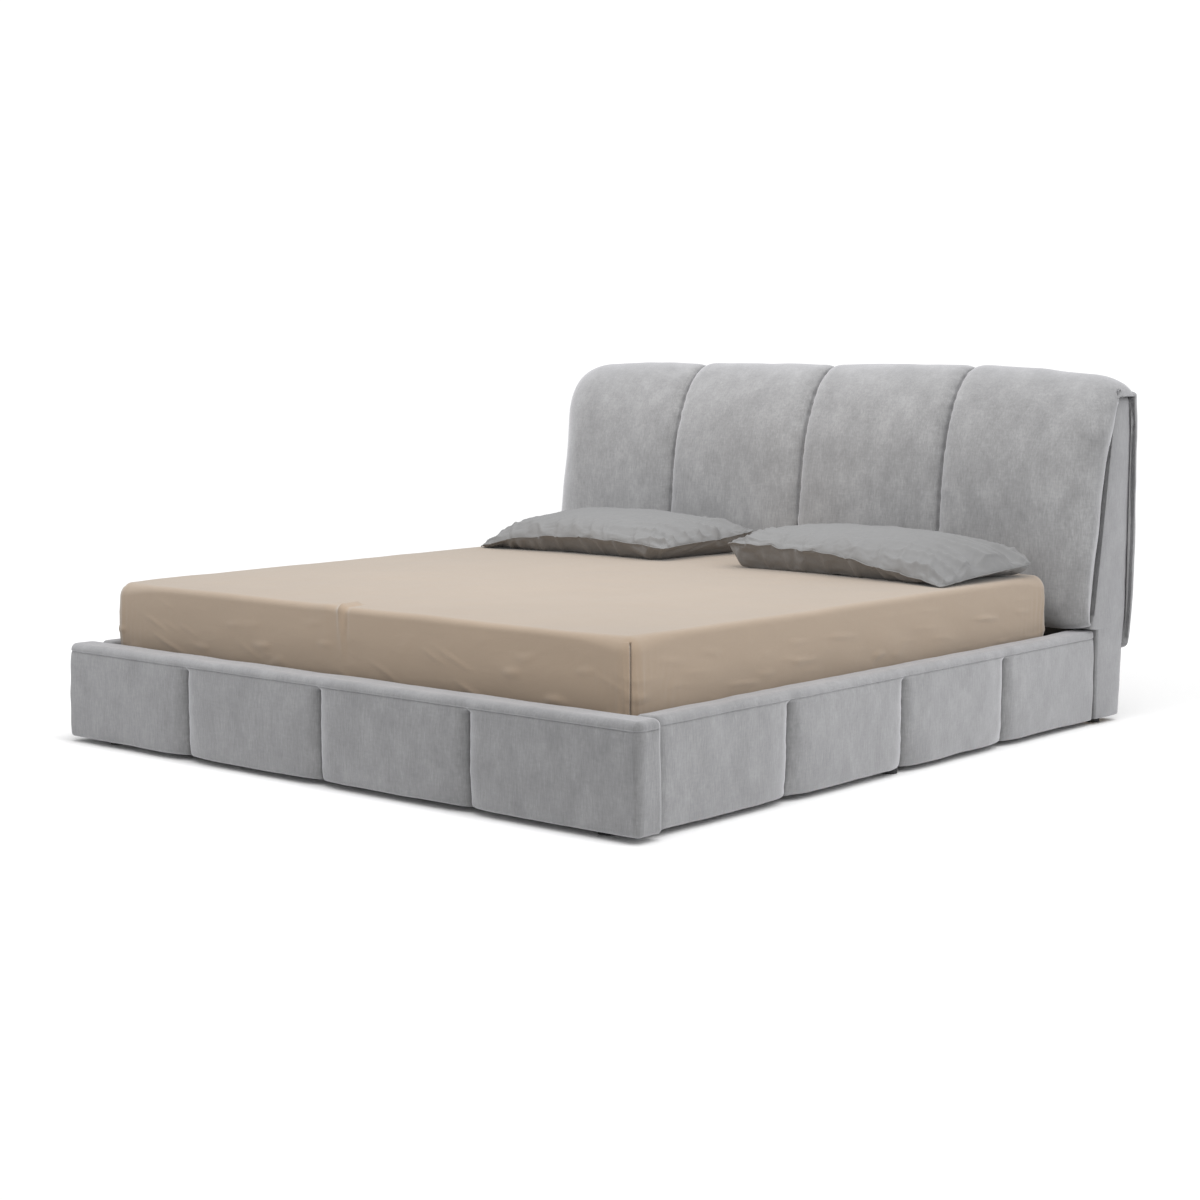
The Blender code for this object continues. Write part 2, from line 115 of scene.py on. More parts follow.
def stations(marks, fine, coarse, growth=0.12):
    """Places from the first mark to the last, close together at every mark."""
    places = [marks[0]]
    for start, end in zip(marks, marks[1:]):
        half = (end - start) / 2
        offsets = [0.0]
        while offsets[-1] < half:
            offsets.append(offsets[-1] + min(coarse, fine + growth * offsets[-1]))
        offsets = np.array(offsets) * half / offsets[-1]
        places += list(start + offsets[1:]) + list(end - offsets[-2::-1])
    return np.array(places)


def spline(points, places):
    """A smooth curve through the points, read at places from 0 to the number of points less 1."""
    points = np.array(points, float)
    last = len(points) - 1
    k = np.clip(np.floor(places).astype(int), 0, last - 1)
    t = (places - k)[:, None]
    before = points[np.maximum(k - 1, 0)]
    start = points[k]
    end = points[k + 1]
    after = points[np.minimum(k + 2, last)]
    return 0.5 * (2 * start + (end - before) * t + (2 * before - 5 * start + 4 * end - after) * t ** 2
                  + (3 * start - 3 * end + after - before) * t ** 3)


# Meshes ----------------------------------------------------------------------------------------

def add_object(name, data):
    thing = bpy.data.objects.new(name, data)
    bpy.context.scene.collection.objects.link(thing)
    return thing


def new_piece(name, points, faces, material, body):
    mesh = bpy.data.meshes.new(name)
    mesh.from_pydata([tuple(p) for p in points], [], [tuple(f) for f in faces])
    mesh.validate()
    mesh.shade_smooth()
    return finish_piece(name, mesh, material, body)


def finish_piece(name, data, material, body):
    data.materials.append(material)
    piece = add_object(name, data)
    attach(piece, body)
    return piece


def read_points(mesh):
    points = np.empty(len(mesh.vertices) * 3)
    mesh.vertices.foreach_get("co", points)
    return points.reshape(-1, 3)


def read_normals(mesh):
    normals = np.empty(len(mesh.vertices) * 3)
    mesh.vertex_normals.foreach_get("vector", normals)
    return normals.reshape(-1, 3)


def write_points(mesh, points):
    mesh.vertices.foreach_set("co", points.ravel())
    mesh.update()


def push(piece, amount):
    """Moves each vertex along its normal; amount is a function of points and normals."""
    points, normals = read_points(piece.data), read_normals(piece.data)
    write_points(piece.data, points + normals * amount(points, normals)[:, None])


def lattice(xs, ys, zs):
    """The surface of a box cut along three lists of planes: points and outward quads."""
    ids = -np.ones((len(xs), len(ys), len(zs)), int)
    inside = np.zeros(ids.shape, bool)
    inside[1:-1, 1:-1, 1:-1] = True
    ids[~inside] = np.arange((~inside).sum())
    grid = np.stack(np.meshgrid(xs, ys, zs, indexing="ij"), axis=-1)
    points = grid[~inside]
    sides = [(ids[0], False), (ids[-1], True), (ids[:, 0], True), (ids[:, -1], False),
             (ids[:, :, 0], False), (ids[:, :, -1], True)]
    quads = []
    for side, straight in sides:
        a, b, c, d = side[:-1, :-1], side[1:, :-1], side[1:, 1:], side[:-1, 1:]
        corners = (a, b, c, d) if straight else (a, d, c, b)
        quads.append(np.stack([corner.ravel() for corner in corners], axis=1))
    return points, np.concatenate(quads)


def rounded(points, low, high, radius):
    """Points on a box moved onto the box with rounded edges, and the outward directions there."""
    low, high = np.array(low), np.array(high)
    radius = np.broadcast_to(np.asarray(radius, float), (len(points),))[:, None]
    core = np.clip(points, low + radius, high - radius)
    out = points - core
    out /= np.linalg.norm(out, axis=1)[:, None]
    return core + out * radius, out


def reshape(piece, change):
    """Edits the piece's mesh; change is a function of its bmesh."""
    form = bmesh.new()
    form.from_mesh(piece.data)
    change(form)
    form.to_mesh(piece.data)
    form.free()


def drop_loose(form):
    loose = [v for v in form.verts if not v.link_faces]
    bmesh.ops.delete(form, geom=loose, context="VERTS")


def pocket(piece, node, direction, depth):
    """Cuts a blind pocket in the piece's flat side where the CAD node stands in it."""
    low, high = np.array(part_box(node))
    axis = int(np.argmax(np.abs(direction)))
    sides = [i for i in range(3) if i != axis]

    def cut(form):
        facing = [face for face in form.faces
                  if -face.normal[axis] * direction[axis] > 0.95 and all(
                      low[i] - 1e-4 < face.calc_center_median()[i] < high[i] + 1e-4 for i in sides)]
        bmesh.ops.delete(form, geom=facing, context="FACES")
        rim = [edge for edge in form.edges if edge.is_boundary]
        walls = bmesh.ops.extrude_edge_only(form, edges=rim)["geom"]
        moved = [v for v in walls if isinstance(v, bmesh.types.BMVert)]
        bmesh.ops.translate(form, verts=moved, vec=[depth * d for d in direction])
        deep = [e for e in walls if isinstance(e, bmesh.types.BMEdge) and e.is_boundary]
        bmesh.ops.holes_fill(form, edges=deep, sides=0)

    reshape(piece, cut)


def tube(name, points, radius, material, body):
    """A thin closed cord through the points, such as a seam or a hem."""
    curve = bpy.data.curves.new(name, "CURVE")
    curve.dimensions = "3D"
    curve.bevel_depth = radius
    curve.bevel_resolution = 3
    path = curve.splines.new("POLY")
    path.points.add(len(points) - 1)
    for point, place in zip(path.points, points):
        point.co = (*place, 1.0)
    path.use_cyclic_u = True
    return finish_piece(name, curve, material, body)


# Materials -------------------------------------------------------------------------------------

class Shader:
    """A small helper that builds one Principled material from nodes."""

    def __init__(self, name, **constants):
        self.material = bpy.data.materials.new(name)
        self.material.use_nodes = True
        self.tree = self.material.node_tree
        self.principled = self.tree.nodes["Principled BSDF"]
        for socket, value in constants.items():
            label = socket.replace("_", " ").title().replace("Ior", "IOR")
            self.principled.inputs[label].default_value = value
        self.place = self.tree.nodes.new("ShaderNodeTexCoord").outputs["Object"]

    def node(self, kind, inputs=(), **settings):
        node = self.tree.nodes.new(kind)
        for key, value in settings.items():
            setattr(node, key, value)
        for socket, value in dict(inputs).items():
            if isinstance(value, bpy.types.NodeSocket):
                self.tree.links.new(value, node.inputs[socket])
            else:
                node.inputs[socket].default_value = value
        return node

    def noise(self, scale, stretch=(1, 1, 1), detail=3.0, roughness=0.55, distortion=0.0):
        mapped = self.node("ShaderNodeMapping", {"Vector": self.place, "Scale": stretch})
        return self.node("ShaderNodeTexNoise", {
            "Vector": mapped.outputs[0], "Scale": scale, "Detail": detail,
            "Roughness": roughness, "Distortion": distortion}).outputs["Fac"]

    def wave(self, scale, stretch=(1, 1, 1), direction="X", distortion=2.0, detail=2.0):
        mapped = self.node("ShaderNodeMapping", {"Vector": self.place, "Scale": stretch})
        return self.node("ShaderNodeTexWave", {
            "Vector": mapped.outputs[0], "Scale": scale, "Distortion": distortion,
            "Detail": detail}, bands_direction=direction).outputs["Fac"]

    def plain_weave(self):
        """The fine threads along Y and along X of a cotton cloth."""
        return (self.noise(1300.0, (1, 0.08, 1), detail=1.0),
                self.noise(1300.0, (0.08, 1, 1), detail=1.0))

    def math(self, operation, first, second):
        return self.node("ShaderNodeMath", {0: first, 1: second}, operation=operation).outputs[0]

    def weighted(self, parts):
        """The sum of (pattern - 0.5) x weight over the parts, plus 0.5."""
        total = None
        for pattern, weight in parts:
            centred = self.math("SUBTRACT", pattern, 0.5)
            term = self.math("MULTIPLY", centred, weight)
            total = term if total is None else self.math("ADD", total, term)
        return self.math("ADD", total, 0.5)

    def colour(self, factor, stops):
        ramp = self.node("ShaderNodeValToRGB", {"Fac": factor})
        elements = ramp.color_ramp.elements
        while len(elements) < len(stops):
            elements.new(0.5)
        for element, (place, value) in zip(elements, stops):
            element.position = place
            element.color = (*value, 1.0)
        self.tree.links.new(ramp.outputs["Color"], self.principled.inputs["Base Color"])

    def roughness(self, factor, low, high):
        span = self.node("ShaderNodeMapRange", {"Value": factor, "To Min": low, "To Max": high})
        self.tree.links.new(span.outputs[0], self.principled.inputs["Roughness"])

    def bump(self, height, strength, distance):
        bump = self.node("ShaderNodeBump", {
            "Height": height, "Strength": strength, "Distance": distance})
        self.tree.links.new(bump.outputs["Normal"], self.principled.inputs["Normal"])


def chenille(name, painted_light_scale):
    """Grey chenille: short upright slubs and a soft nap with paler and darker brushed patches; the second
    argument paints light or shade onto the whole piece by making its colour paler or darker.
    """
    s = Shader(name, specular_ior_level=0.1, sheen_weight=0.9, sheen_roughness=0.6,
               sheen_tint=(0.96, 0.96, 1.0, 1.0))
    slub = s.noise(380.0, (1, 1, 0.12), detail=2.0, roughness=0.55)
    thread = s.noise(150.0, (1, 1, 0.22), detail=3.0, roughness=0.6)
    fleck = s.noise(170.0, (0.30, 0.30, 1.0), detail=2.0)
    patch = s.noise(6.0, (1, 1, 0.8), detail=3.0, roughness=0.55, distortion=0.5)
    brushed = s.noise(26.0, (0.7, 0.7, 0.45), detail=3.0)
    tone = s.weighted([(slub, 0.40), (thread, 0.42), (fleck, 0.26), (patch, 0.42), (brushed, 0.50)])
    # the per-piece factor scales the whole colour ramp: painted light or painted shade for that piece, not
    # a colour of the fabric
    s.colour(tone, [(place, (painted_light_scale * grey, painted_light_scale * grey, painted_light_scale * grey * 1.006))
                    for place, grey in ((0.25, 0.150), (0.5, 0.205), (0.75, 0.275))])
    s.roughness(thread, 0.85, 0.98)
    weave = s.noise(900.0, (1, 1, 0.5), detail=2.0)
    s.bump(s.weighted([(slub, 0.6), (thread, 0.8), (weave, 0.35)]), 0.45, 0.0012)
    return s.material


def sheet_cotton(name):
    """Beige cotton: a fine plain weave with faint creases."""
    s = Shader(name, specular_ior_level=0.2, sheen_weight=0.55, sheen_roughness=0.5,
               sheen_tint=(0.93, 0.98, 1.0, 1.0))
    warp, weft = s.plain_weave()
    cloud = s.noise(3.5, detail=3.0)
    crease = s.noise(9.0, (1, 1, 2.2), detail=5.0, roughness=0.5, distortion=1.3)
    tone = s.weighted([(warp, 0.2), (weft, 0.2), (cloud, 0.35), (crease, 0.2)])
    s.colour(tone, [(0.3, (0.355, 0.271, 0.198)), (0.7, (0.396, 0.303, 0.222))])
    s.roughness(cloud, 0.8, 0.92)
    s.bump(s.weighted([(warp, 0.12), (weft, 0.12), (crease, 1.0)]), 0.35, 0.0025)
    return s.material


def pillow_cotton(name):
    """Cool grey cotton percale."""
    s = Shader(name, specular_ior_level=0.2, sheen_weight=0.15, sheen_roughness=0.5,
               sheen_tint=(0.95, 0.96, 1.0, 1.0))
    warp, weft = s.plain_weave()
    crease = s.noise(16.0, (1, 0.6, 1.4), detail=5.0, distortion=1.5)
    tone = s.weighted([(warp, 0.2), (weft, 0.2), (crease, 0.25)])
    s.colour(tone, [(0.3, (0.208, 0.208, 0.209)), (0.7, (0.244, 0.244, 0.245))])
    s.roughness(crease, 0.8, 0.92)
    s.bump(s.weighted([(warp, 0.1), (weft, 0.1), (crease, 1.0)]), 0.4, 0.003)
    return s.material


def ticking(name):
    """White mattress ticking with a soft quilted relief."""
    s = Shader(name, specular_ior_level=0.2, sheen_weight=0.15)
    quilt = s.math("ADD", s.wave(2.2, (1, 1, 0), "X", 0.0, 0.0), s.wave(2.2, (1, 1, 0), "Y", 0.0, 0.0))
    knit = s.noise(700.0, (1, 0.3, 1), detail=2.0)
    s.colour(s.weighted([(knit, 0.5), (quilt, 0.1)]), [(0.2, (0.66, 0.65, 0.62)),
                                                       (0.8, (0.82, 0.81, 0.78))])
    s.roughness(knit, 0.85, 0.95)
    s.bump(s.weighted([(quilt, 1.0), (knit, 0.1)]), 0.6, 0.006)
    return s.material


def timber(name, pale, dark, along, ring_scale, contrast=1.0):
    """Planed softwood or birch: grain along one axis, pores, and a few darker streaks."""
    s = Shader(name, specular_ior_level=0.35)
    stretch = [1.0, 1.0, 1.0]
    stretch["XYZ".index(along)] = 0.06
    grain = s.noise(ring_scale, tuple(stretch), detail=5.0, roughness=0.6, distortion=0.8)
    fibre = s.noise(420.0, tuple(v * (0.5 if v < 1 else 1) for v in stretch), detail=2.0)
    cloud = s.noise(5.0, detail=2.0)
    tone = s.weighted([(grain, contrast), (fibre, 0.3), (cloud, 0.3)])
    s.colour(tone, [(0.25, dark), (0.55, pale), (0.8, tuple(min(1, c * 1.12) for c in pale))])
    s.roughness(grain, 0.5, 0.72)
    s.bump(s.weighted([(grain, 0.5), (fibre, 0.5)]), 0.25, 0.0008)
    return s.material


def zinc(name):
    """Galvanised steel with a faint spangle and drawn scratches."""
    s = Shader(name, metallic=1.0)
    spangle = s.node("ShaderNodeTexVoronoi", {"Vector": s.place, "Scale": 160.0}).outputs["Distance"]
    scratch = s.noise(700.0, (0.1, 1, 1), detail=2.0)
    s.colour(s.weighted([(spangle, 0.5), (scratch, 0.3)]), [(0.2, (0.42, 0.43, 0.45)),
                                                            (0.8, (0.62, 0.63, 0.65))])
    s.roughness(spangle, 0.32, 0.55)
    s.bump(scratch, 0.15, 0.0004)
    return s.material


def black_plastic(name):
    """Moulded black plastic with a fine spark-eroded texture and light scuffs."""
    s = Shader(name, specular_ior_level=0.4)
    spark = s.noise(1500.0, detail=2.0)
    scuff = s.noise(60.0, detail=4.0)
    s.colour(s.weighted([(spark, 0.2), (scuff, 0.5)]), [(0.2, (0.012, 0.012, 0.013)),
                                                        (0.9, (0.05, 0.05, 0.052))])
    s.roughness(scuff, 0.45, 0.7)
    s.bump(spark, 0.2, 0.0003)
    return s.material


# The same chenille in copies made paler or darker by their last number, which paints the light on each
# piece: painted shade on the foot rail (0.90) and the core (0.83), painted light on the side rails (1.02),
# the cushion (1.17) and the rear pad (1.25).
CHENILLE_FOOT_PAINTED_DARKER = chenille("grey_chenille_foot_painted_darker", 0.90)
CHENILLE_SIDES_PAINTED_PALER = chenille("grey_chenille_sides_painted_paler", 1.02)
CHENILLE_CUSHION_PAINTED_PALER = chenille("grey_chenille_cushion_painted_paler", 1.17)
CHENILLE_CORE_PAINTED_DARKER = chenille("grey_chenille_core_painted_darker", 0.83)
CHENILLE_PAD_PAINTED_PALER = chenille("grey_chenille_pad_painted_paler", 1.25)
SHEET_COTTON = sheet_cotton("beige_cotton")
PILLOW_COTTON = pillow_cotton("grey_percale")
TICKING = ticking("mattress_ticking")
PINE_ACROSS, PINE_ALONG, PINE_UP = (
    timber("pine_" + way, (0.60, 0.43, 0.25), (0.40, 0.25, 0.12), axis, 60.0)
    for way, axis in (("across", "X"), ("along", "Y"), ("up", "Z")))
BIRCH = timber("birch_slats", (0.70, 0.56, 0.38), (0.58, 0.43, 0.27), "X", 110.0, contrast=0.5)
ZINC = zinc("galvanised_steel")
PLASTIC = black_plastic("black_plastic")


# Padded rails ----------------------------------------------------------------------------------

def quarter_round(distance, reach):
    """1 on an edge, falling to 0 at a distance of reach along a quarter of an ellipse."""
    return 1 - np.sqrt(np.clip(1 - np.clip(1 - distance / reach, 0, 1) ** 2, 0, 1))


def seam_distance(place, seams):
    return np.min(np.abs(place[:, None] - np.array(seams)[None, :]), axis=1)


def padded_rail(name, board, fabric, length, depth, height, middle, turn, seed, end_depth, end_width):
    """Upholstery round a rail, built along X with its padded side towards -Y, then turned."""
    half = length / 2
    turning = about_z(turn)
    corners = (np.array(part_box(board)) - middle) @ turning
    board_reach = np.abs(corners[:, 0]).max()
    board_low_z, board_high_z = sorted(corners[:, 2])
    wider = CORNER_PANEL * (1 if turn == 0 else -math.copysign(1, math.sin(turn)))
    seams = [-half + length * k / PANELS - wider for k in range(1, PANELS)]
    along = stations(sorted([-half, half, -board_reach, board_reach] + seams), 0.0016, 0.009, 0.10)
    across = stations([-depth, 0.0], 0.0018, 0.008, 0.3)
    up = stations([0.0, board_low_z, RAIL_SEAM_HEIGHT, board_high_z, height]
                  if board_high_z > RAIL_SEAM_HEIGHT
                  else [0.0, board_low_z, board_high_z, RAIL_SEAM_HEIGHT, height], 0.0013, 0.0075, 0.2)
    base, quads = lattice(along, across, up)
    radius = RAIL_BOTTOM_ROUND + (RAIL_TOP_ROUND - RAIL_BOTTOM_ROUND) * smoothstep(
        base[:, 2], 0.3 * height, 0.8 * height)
    if turn:    # the end against the headboard is squarer
        radius = radius * (1 - 0.55 * smoothstep(base[:, 0] * math.sin(turn), half - 0.2, half - 0.05))
    points, out = rounded(base, (-half, -depth, 0), (half, 0, height), radius)
    s, z = points[:, 0], points[:, 2]
    upright = np.clip(1 - np.abs(out[:, 2]) ** 3, 0, 1)
    outside = np.clip(1 - np.maximum(out[:, 1], 0) * 1.6, 0, 1)
    below_seam = 1 - smoothstep(z, RAIL_SEAM_HEIGHT - 0.014, RAIL_SEAM_HEIGHT + 0.001)
    from_seam = seam_distance(s, seams)
    from_end = half - np.abs(s)
    # each panel's border curves in like a cushion's, a little more at its lower corners
    reach = RAIL_SEAM_WIDTH * (1 + 0.9 * np.exp(-z / 0.025) - 0.35 * np.exp(-(RAIL_SEAM_HEIGHT - z) / 0.05))
    recess = RAIL_SEAM_DEPTH * quarter_round(from_seam, reach) * below_seam
    recess += CREASE_DEPTH * np.exp(-from_seam / CREASE_WIDTH) * below_seam
    recess += PANEL_DOME * smoothstep(from_seam, PANEL_DOME_WIDTH, 0.0) * below_seam
    recess += 0.0025 * (1 - below_seam) * smoothstep(from_seam, 0.05, 0.0)
    # a side rail's end at the foot rail turns in deeply, the other end hardly at all
    at_foot = smoothstep(-s * math.sin(turn), half - 0.3, half - 0.1) if turn else 1.0
    recess += np.where(at_foot * np.ones(len(s)) > 0.5, end_depth * quarter_round(from_end, end_width),
                       RAIL_REAR_TUCK * quarter_round(from_end, RAIL_REAR_TUCK_WIDTH))
    recess += 0.004 * np.abs(2 * z / height - 0.95) ** 4
    points[:, 1] += recess * np.clip(-points[:, 1] / depth, 0, 1) ** 2
    # the seam along the top edge, which wraps round the ends
    line = z - RAIL_SEAM_HEIGHT
    groove = GROOVE_DEPTH * np.exp(-(line / GROOVE_WIDTH) ** 2)
    shoulder = 0.0020 * np.exp(-np.maximum(-line, 0) / 0.009) * (line < 0)
    points -= out * ((groove + shoulder) * upright * outside)[:, None]
    # soft unevenness and short pulls beside the seams
    place = points + np.array([seed * 3.1, seed * 1.7, seed])
    lumps = 0.0011 * ripple(place, 0.30, seed) + 0.0005 * ripple(place, 0.09, seed + 1)
    pulls = 0.0011 * np.exp(-from_seam / 0.022) * ripple(place, 0.030, seed + 2, stretch=(3, 1, 1))
    pulls += 0.0006 * np.exp(-np.abs(line) / 0.012) * ripple(place, 0.035, seed + 3, stretch=(1, 1, 2))
    flat_side = 1 - np.clip(out[:, 1], 0, 1)
    points += out * ((lumps + pulls * below_seam) * flat_side)[:, None]
    # stay within the CAD rail's faces, but for the fabric that hangs below it
    points[:, 1] = np.clip(points[:, 1], -depth, 0)
    points[:, 2] = np.clip(points[:, 2], 0, height)
    points[:, 2] -= RAIL_HANG * smoothstep(z, 0.10, 0.0)
    points = points @ turning.T + middle
    piece = new_piece(name, points, quads, fabric, "bed_frame")
    board_depth = corners[:, 1].max() - corners[:, 1].min()
    inward = turning @ np.array([0.0, -1.0, 0.0])
    pocket(piece, board, [round(v) for v in inward], board_depth + 0.001)
    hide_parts(name.replace("upholstery", "cover"))
    return piece


def make_rails():
    low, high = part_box("foot_rail_cover")
    height = high[2] - low[2]
    middle = np.array([0.0, high[1], low[2]])
    padded_rail("foot_rail_upholstery", "foot_rail_board", CHENILLE_FOOT_PAINTED_DARKER, high[0] - low[0],
                high[1] - low[1], height, middle, 0.0, 1, RAIL_END_ROUND, RAIL_END_ROUND)
    for side, turn, seed in (("left", -90, 2), ("right", 90, 3)):
        low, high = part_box("side_rail_%s_cover" % side)
        inner = high[0] if side == "left" else low[0]
        middle = np.array([inner, (low[1] + high[1]) / 2, low[2]])
        padded_rail("side_rail_%s_upholstery" % side, "side_rail_%s_board" % side, CHENILLE_SIDES_PAINTED_PALER,
                    high[1] - low[1], high[0] - low[0], height, middle, math.radians(turn), seed,
                    RAIL_TUCK, RAIL_TUCK_WIDTH)


# Headboard -------------------------------------------------------------------------------------

# Side outlines of the draped cushion, (distance from the foot end, height above the rails' lower
# edge), from the front's lower edge over the top to the back seam: between seams, on a seam, and
# along the rounded ends
CUSHION_FULL = [(2.192, 0.274), (2.158, 0.290), (2.149, 0.350), (2.146, 0.460), (2.147, 0.570),
                (2.157, 0.720), (2.179, 0.850), (2.213, 0.950), (2.258, 1.022), (2.312, 1.068),
                (2.366, 1.085), (2.406, 1.074), (2.430, 1.040), (2.434, 1.012)]
CUSHION_SEAM = [(2.193, 0.275), (2.178, 0.291), (2.172, 0.350), (2.170, 0.460), (2.172, 0.570),
                (2.186, 0.720), (2.212, 0.850), (2.247, 0.946), (2.288, 1.012), (2.334, 1.053),
                (2.374, 1.068), (2.402, 1.060), (2.424, 1.036), (2.430, 1.012)]
CUSHION_RIM = [(2.196, 0.292), (2.184, 0.304), (2.176, 0.360), (2.187, 0.470), (2.210, 0.570),
               (2.246, 0.720), (2.263, 0.850), (2.278, 0.930), (2.304, 0.990), (2.336, 1.018),
               (2.372, 1.030), (2.396, 1.026), (2.410, 1.012), (2.416, 1.000)]
PAD_FULL = [(2.434, 1.003), (2.441, 0.900), (2.448, 0.730), (2.450, 0.540), (2.443, 0.360),
            (2.430, 0.250), (2.414, 0.200)]
PAD_SEAM = [(2.430, 1.001), (2.436, 0.900), (2.442, 0.730), (2.444, 0.540), (2.437, 0.360),
            (2.424, 0.250), (2.412, 0.203)]
PAD_RIM = [(2.424, 0.989), (2.434, 0.900), (2.440, 0.730), (2.442, 0.540), (2.435, 0.360),
           (2.421, 0.262), (2.411, 0.225)]
CORE_TOP = 0.985
CORE_STEP_HEIGHT = 0.276
CORE_REAR = [(0.0, 2.386), (0.20, 2.404), (0.30, 2.416), (0.38, 2.422), (0.62, 2.428), (0.86, 2.424),
             (0.985, 2.410)]
CORE_ROUND = 0.009
CORE_THICKNESS = 0.16  # of the flat box that is bent into the core
CORE_FOOT_FRONT = 2.2355  # the core's front below its step
CUSHION_INNER_LOW = 0.321  # lower edge of the cushion's flat rear face
CUSHION_INNER_REAR = 2.402
FABRIC_CLEARANCE = 0.001  # between a pad and the core


def core_front(z):
    """The sloping front of the headboard's core, at a height above the rails' lower edge."""
    return 2.195 + (z - CORE_STEP_HEIGHT) * 0.166


def core_rear(z):
    heights, depths = zip(*CORE_REAR)
    return np.interp(z, heights, depths)


def narrowing(height):
    """How much nearer the middle the headboard's ends stand below its rolled top."""
    return 0.013 * smoothstep(height, 0.98, 0.76)


def swept(name, fabric, outlines, inner, end_round, samples, closing_line, side_in, narrowed):
    """A padded piece swept across the bed between its outer outlines and a flat inner path."""
    half = (CAD_BOX[1][0] - CAD_BOX[0][0]) / 2
    seams = [-half + 2 * half * k / PANELS for k in range(1, PANELS)]
    xs = stations([-half] + seams + [half], 0.0016, 0.010)
    places = np.linspace(0, len(outlines[0]) - 1, samples)
    full, seam, rim = (spline(outline, places) for outline in outlines)
    inner = spline(inner, np.linspace(0, len(inner) - 1, 18))
    from_seam = seam_distance(xs, seams)
    full_share = 1 - 0.8 * quarter_round(from_seam, 0.045) - 0.2 * smoothstep(from_seam, 0.16, 0.0)
    rows = []
    for x, fullness in zip(xs, full_share):
        outer = seam + (full - seam) * fullness
        past = max(0.0, abs(x) - (half - end_round))
        turn = 1 - math.sqrt(max(0.0, 1 - (past / end_round) ** 2))
        outer = outer + (rim - outer) * turn
        drawn_in = narrowed * narrowing(outer[:, 1]) * smoothstep(abs(x), 0.8, half)
        rows.append((x - math.copysign(1, x) * drawn_in, outer))
    # close each end with rings that draw in from the rim to the covered core
    target = closing_line(rim)
    closing = []
    for inward, drawn in ((0.02, 0.06), (0.05, 0.22), (0.10, 0.42), (0.20, 0.58), (0.40, 0.70),
                          (0.70, 0.78), (1.0, 0.84)):
        closing.append((half - side_in * inward - narrowed * narrowing(rim[:, 1]),
                        rim + (target - rim) * drawn))
    left = [(-x, drawn) for x, drawn in reversed(closing)]
    rows = left + rows + closing
    points = []
    for x, outer in rows:
        ring = np.concatenate([outer, inner])
        across = np.concatenate([np.broadcast_to(x, len(outer)), np.full(len(inner), np.mean(x))])
        points.append(np.column_stack([across, ring]))
    count = len(points[0])
    points = np.concatenate(points)
    quads = []
    for i in range(len(rows) - 1):
        a = np.arange(count) + i * count
        b = np.roll(np.arange(count), -1) + i * count
        quads.append(np.column_stack([a, b, b + count, a + count]))
    quads = list(map(tuple, np.concatenate(quads)))
    last = len(rows) - 1
    quads += [tuple(reversed(range(count))), tuple(range(last * count, (last + 1) * count))]
    points[:, 1] += FOOT_Y
    points[:, 2] += FLOOR_GAP
    piece = new_piece(name, points, quads, fabric, "bed_frame")
    reshape(piece, lambda form: bmesh.ops.recalc_face_normals(form, faces=form.faces))
    return piece, seams, count, samples


def is_outer(piece, count, samples):
    return (np.arange(len(piece.data.vertices)) % count) < samples


def make_cushion():
    back = FABRIC_CLEARANCE
    inner = [(CUSHION_INNER_REAR, CORE_TOP + back), (2.36, CORE_TOP + back),
             (core_front(CORE_TOP) - back, CORE_TOP + back), (core_front(0.63) - back, 0.63),
             (core_front(CUSHION_INNER_LOW) - back, CUSHION_INNER_LOW)]

    def closing_line(rim):
        """The nearest place on the core's front or top for each point of the rim."""
        on_top = rim[:, 0] > core_front(CORE_TOP) + 0.02
        places = np.column_stack([core_front(rim[:, 1]) - back, rim[:, 1]])
        places[on_top] = np.column_stack([np.minimum(rim[on_top, 0], CUSHION_INNER_REAR),
                                          np.full(on_top.sum(), CORE_TOP + back)])
        corner = smoothstep(np.arange(len(rim)), 0, 12)[:, None]
        first = np.array([[core_front(CUSHION_INNER_LOW) - back, CUSHION_INNER_LOW]])
        return first + (places - first) * corner

    piece, seams, count, samples = swept("headboard_front_cushion", CHENILLE_CUSHION_PAINTED_PALER,
                                         (CUSHION_FULL, CUSHION_SEAM, CUSHION_RIM), inner,
                                         0.12, 190, closing_line, 0.016, 1)
    outer = is_outer(piece, count, samples)

    def relief(points, normals):
        from_seam = seam_distance(points[:, 0], seams)
        amount = -CREASE_DEPTH * 1.7 * np.exp(-from_seam / 0.004)
        amount += 0.0016 * ripple(points, 0.34, 21) + 0.0006 * ripple(points, 0.10, 22)
        pulls = ripple(points, 0.035, 23, stretch=(3, 1, 1))
        amount += 0.0012 * np.exp(-from_seam / 0.022) * pulls
        return np.where(outer, amount, 0.0)

    push(piece, relief)
    points = read_points(piece.data)
    # the padding sags a little towards the two upper corners
    height = smoothstep(points[:, 2], 0.80, 1.08)
    sag = 0.034 * smoothstep(points[:, 0], 0.55, 1.12) + 0.008 * smoothstep(-points[:, 0], 0.8, 1.1)
    points[:, 2] -= np.where(outer, sag * height, 0.0)
    points[:, 2] = np.where(outer & (points[:, 1] > FOOT_Y + core_front(CORE_TOP)),
                            np.maximum(points[:, 2], FLOOR_GAP + CORE_TOP + 0.004), points[:, 2])
    write_points(piece.data, points)
    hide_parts("headboard_cushion")


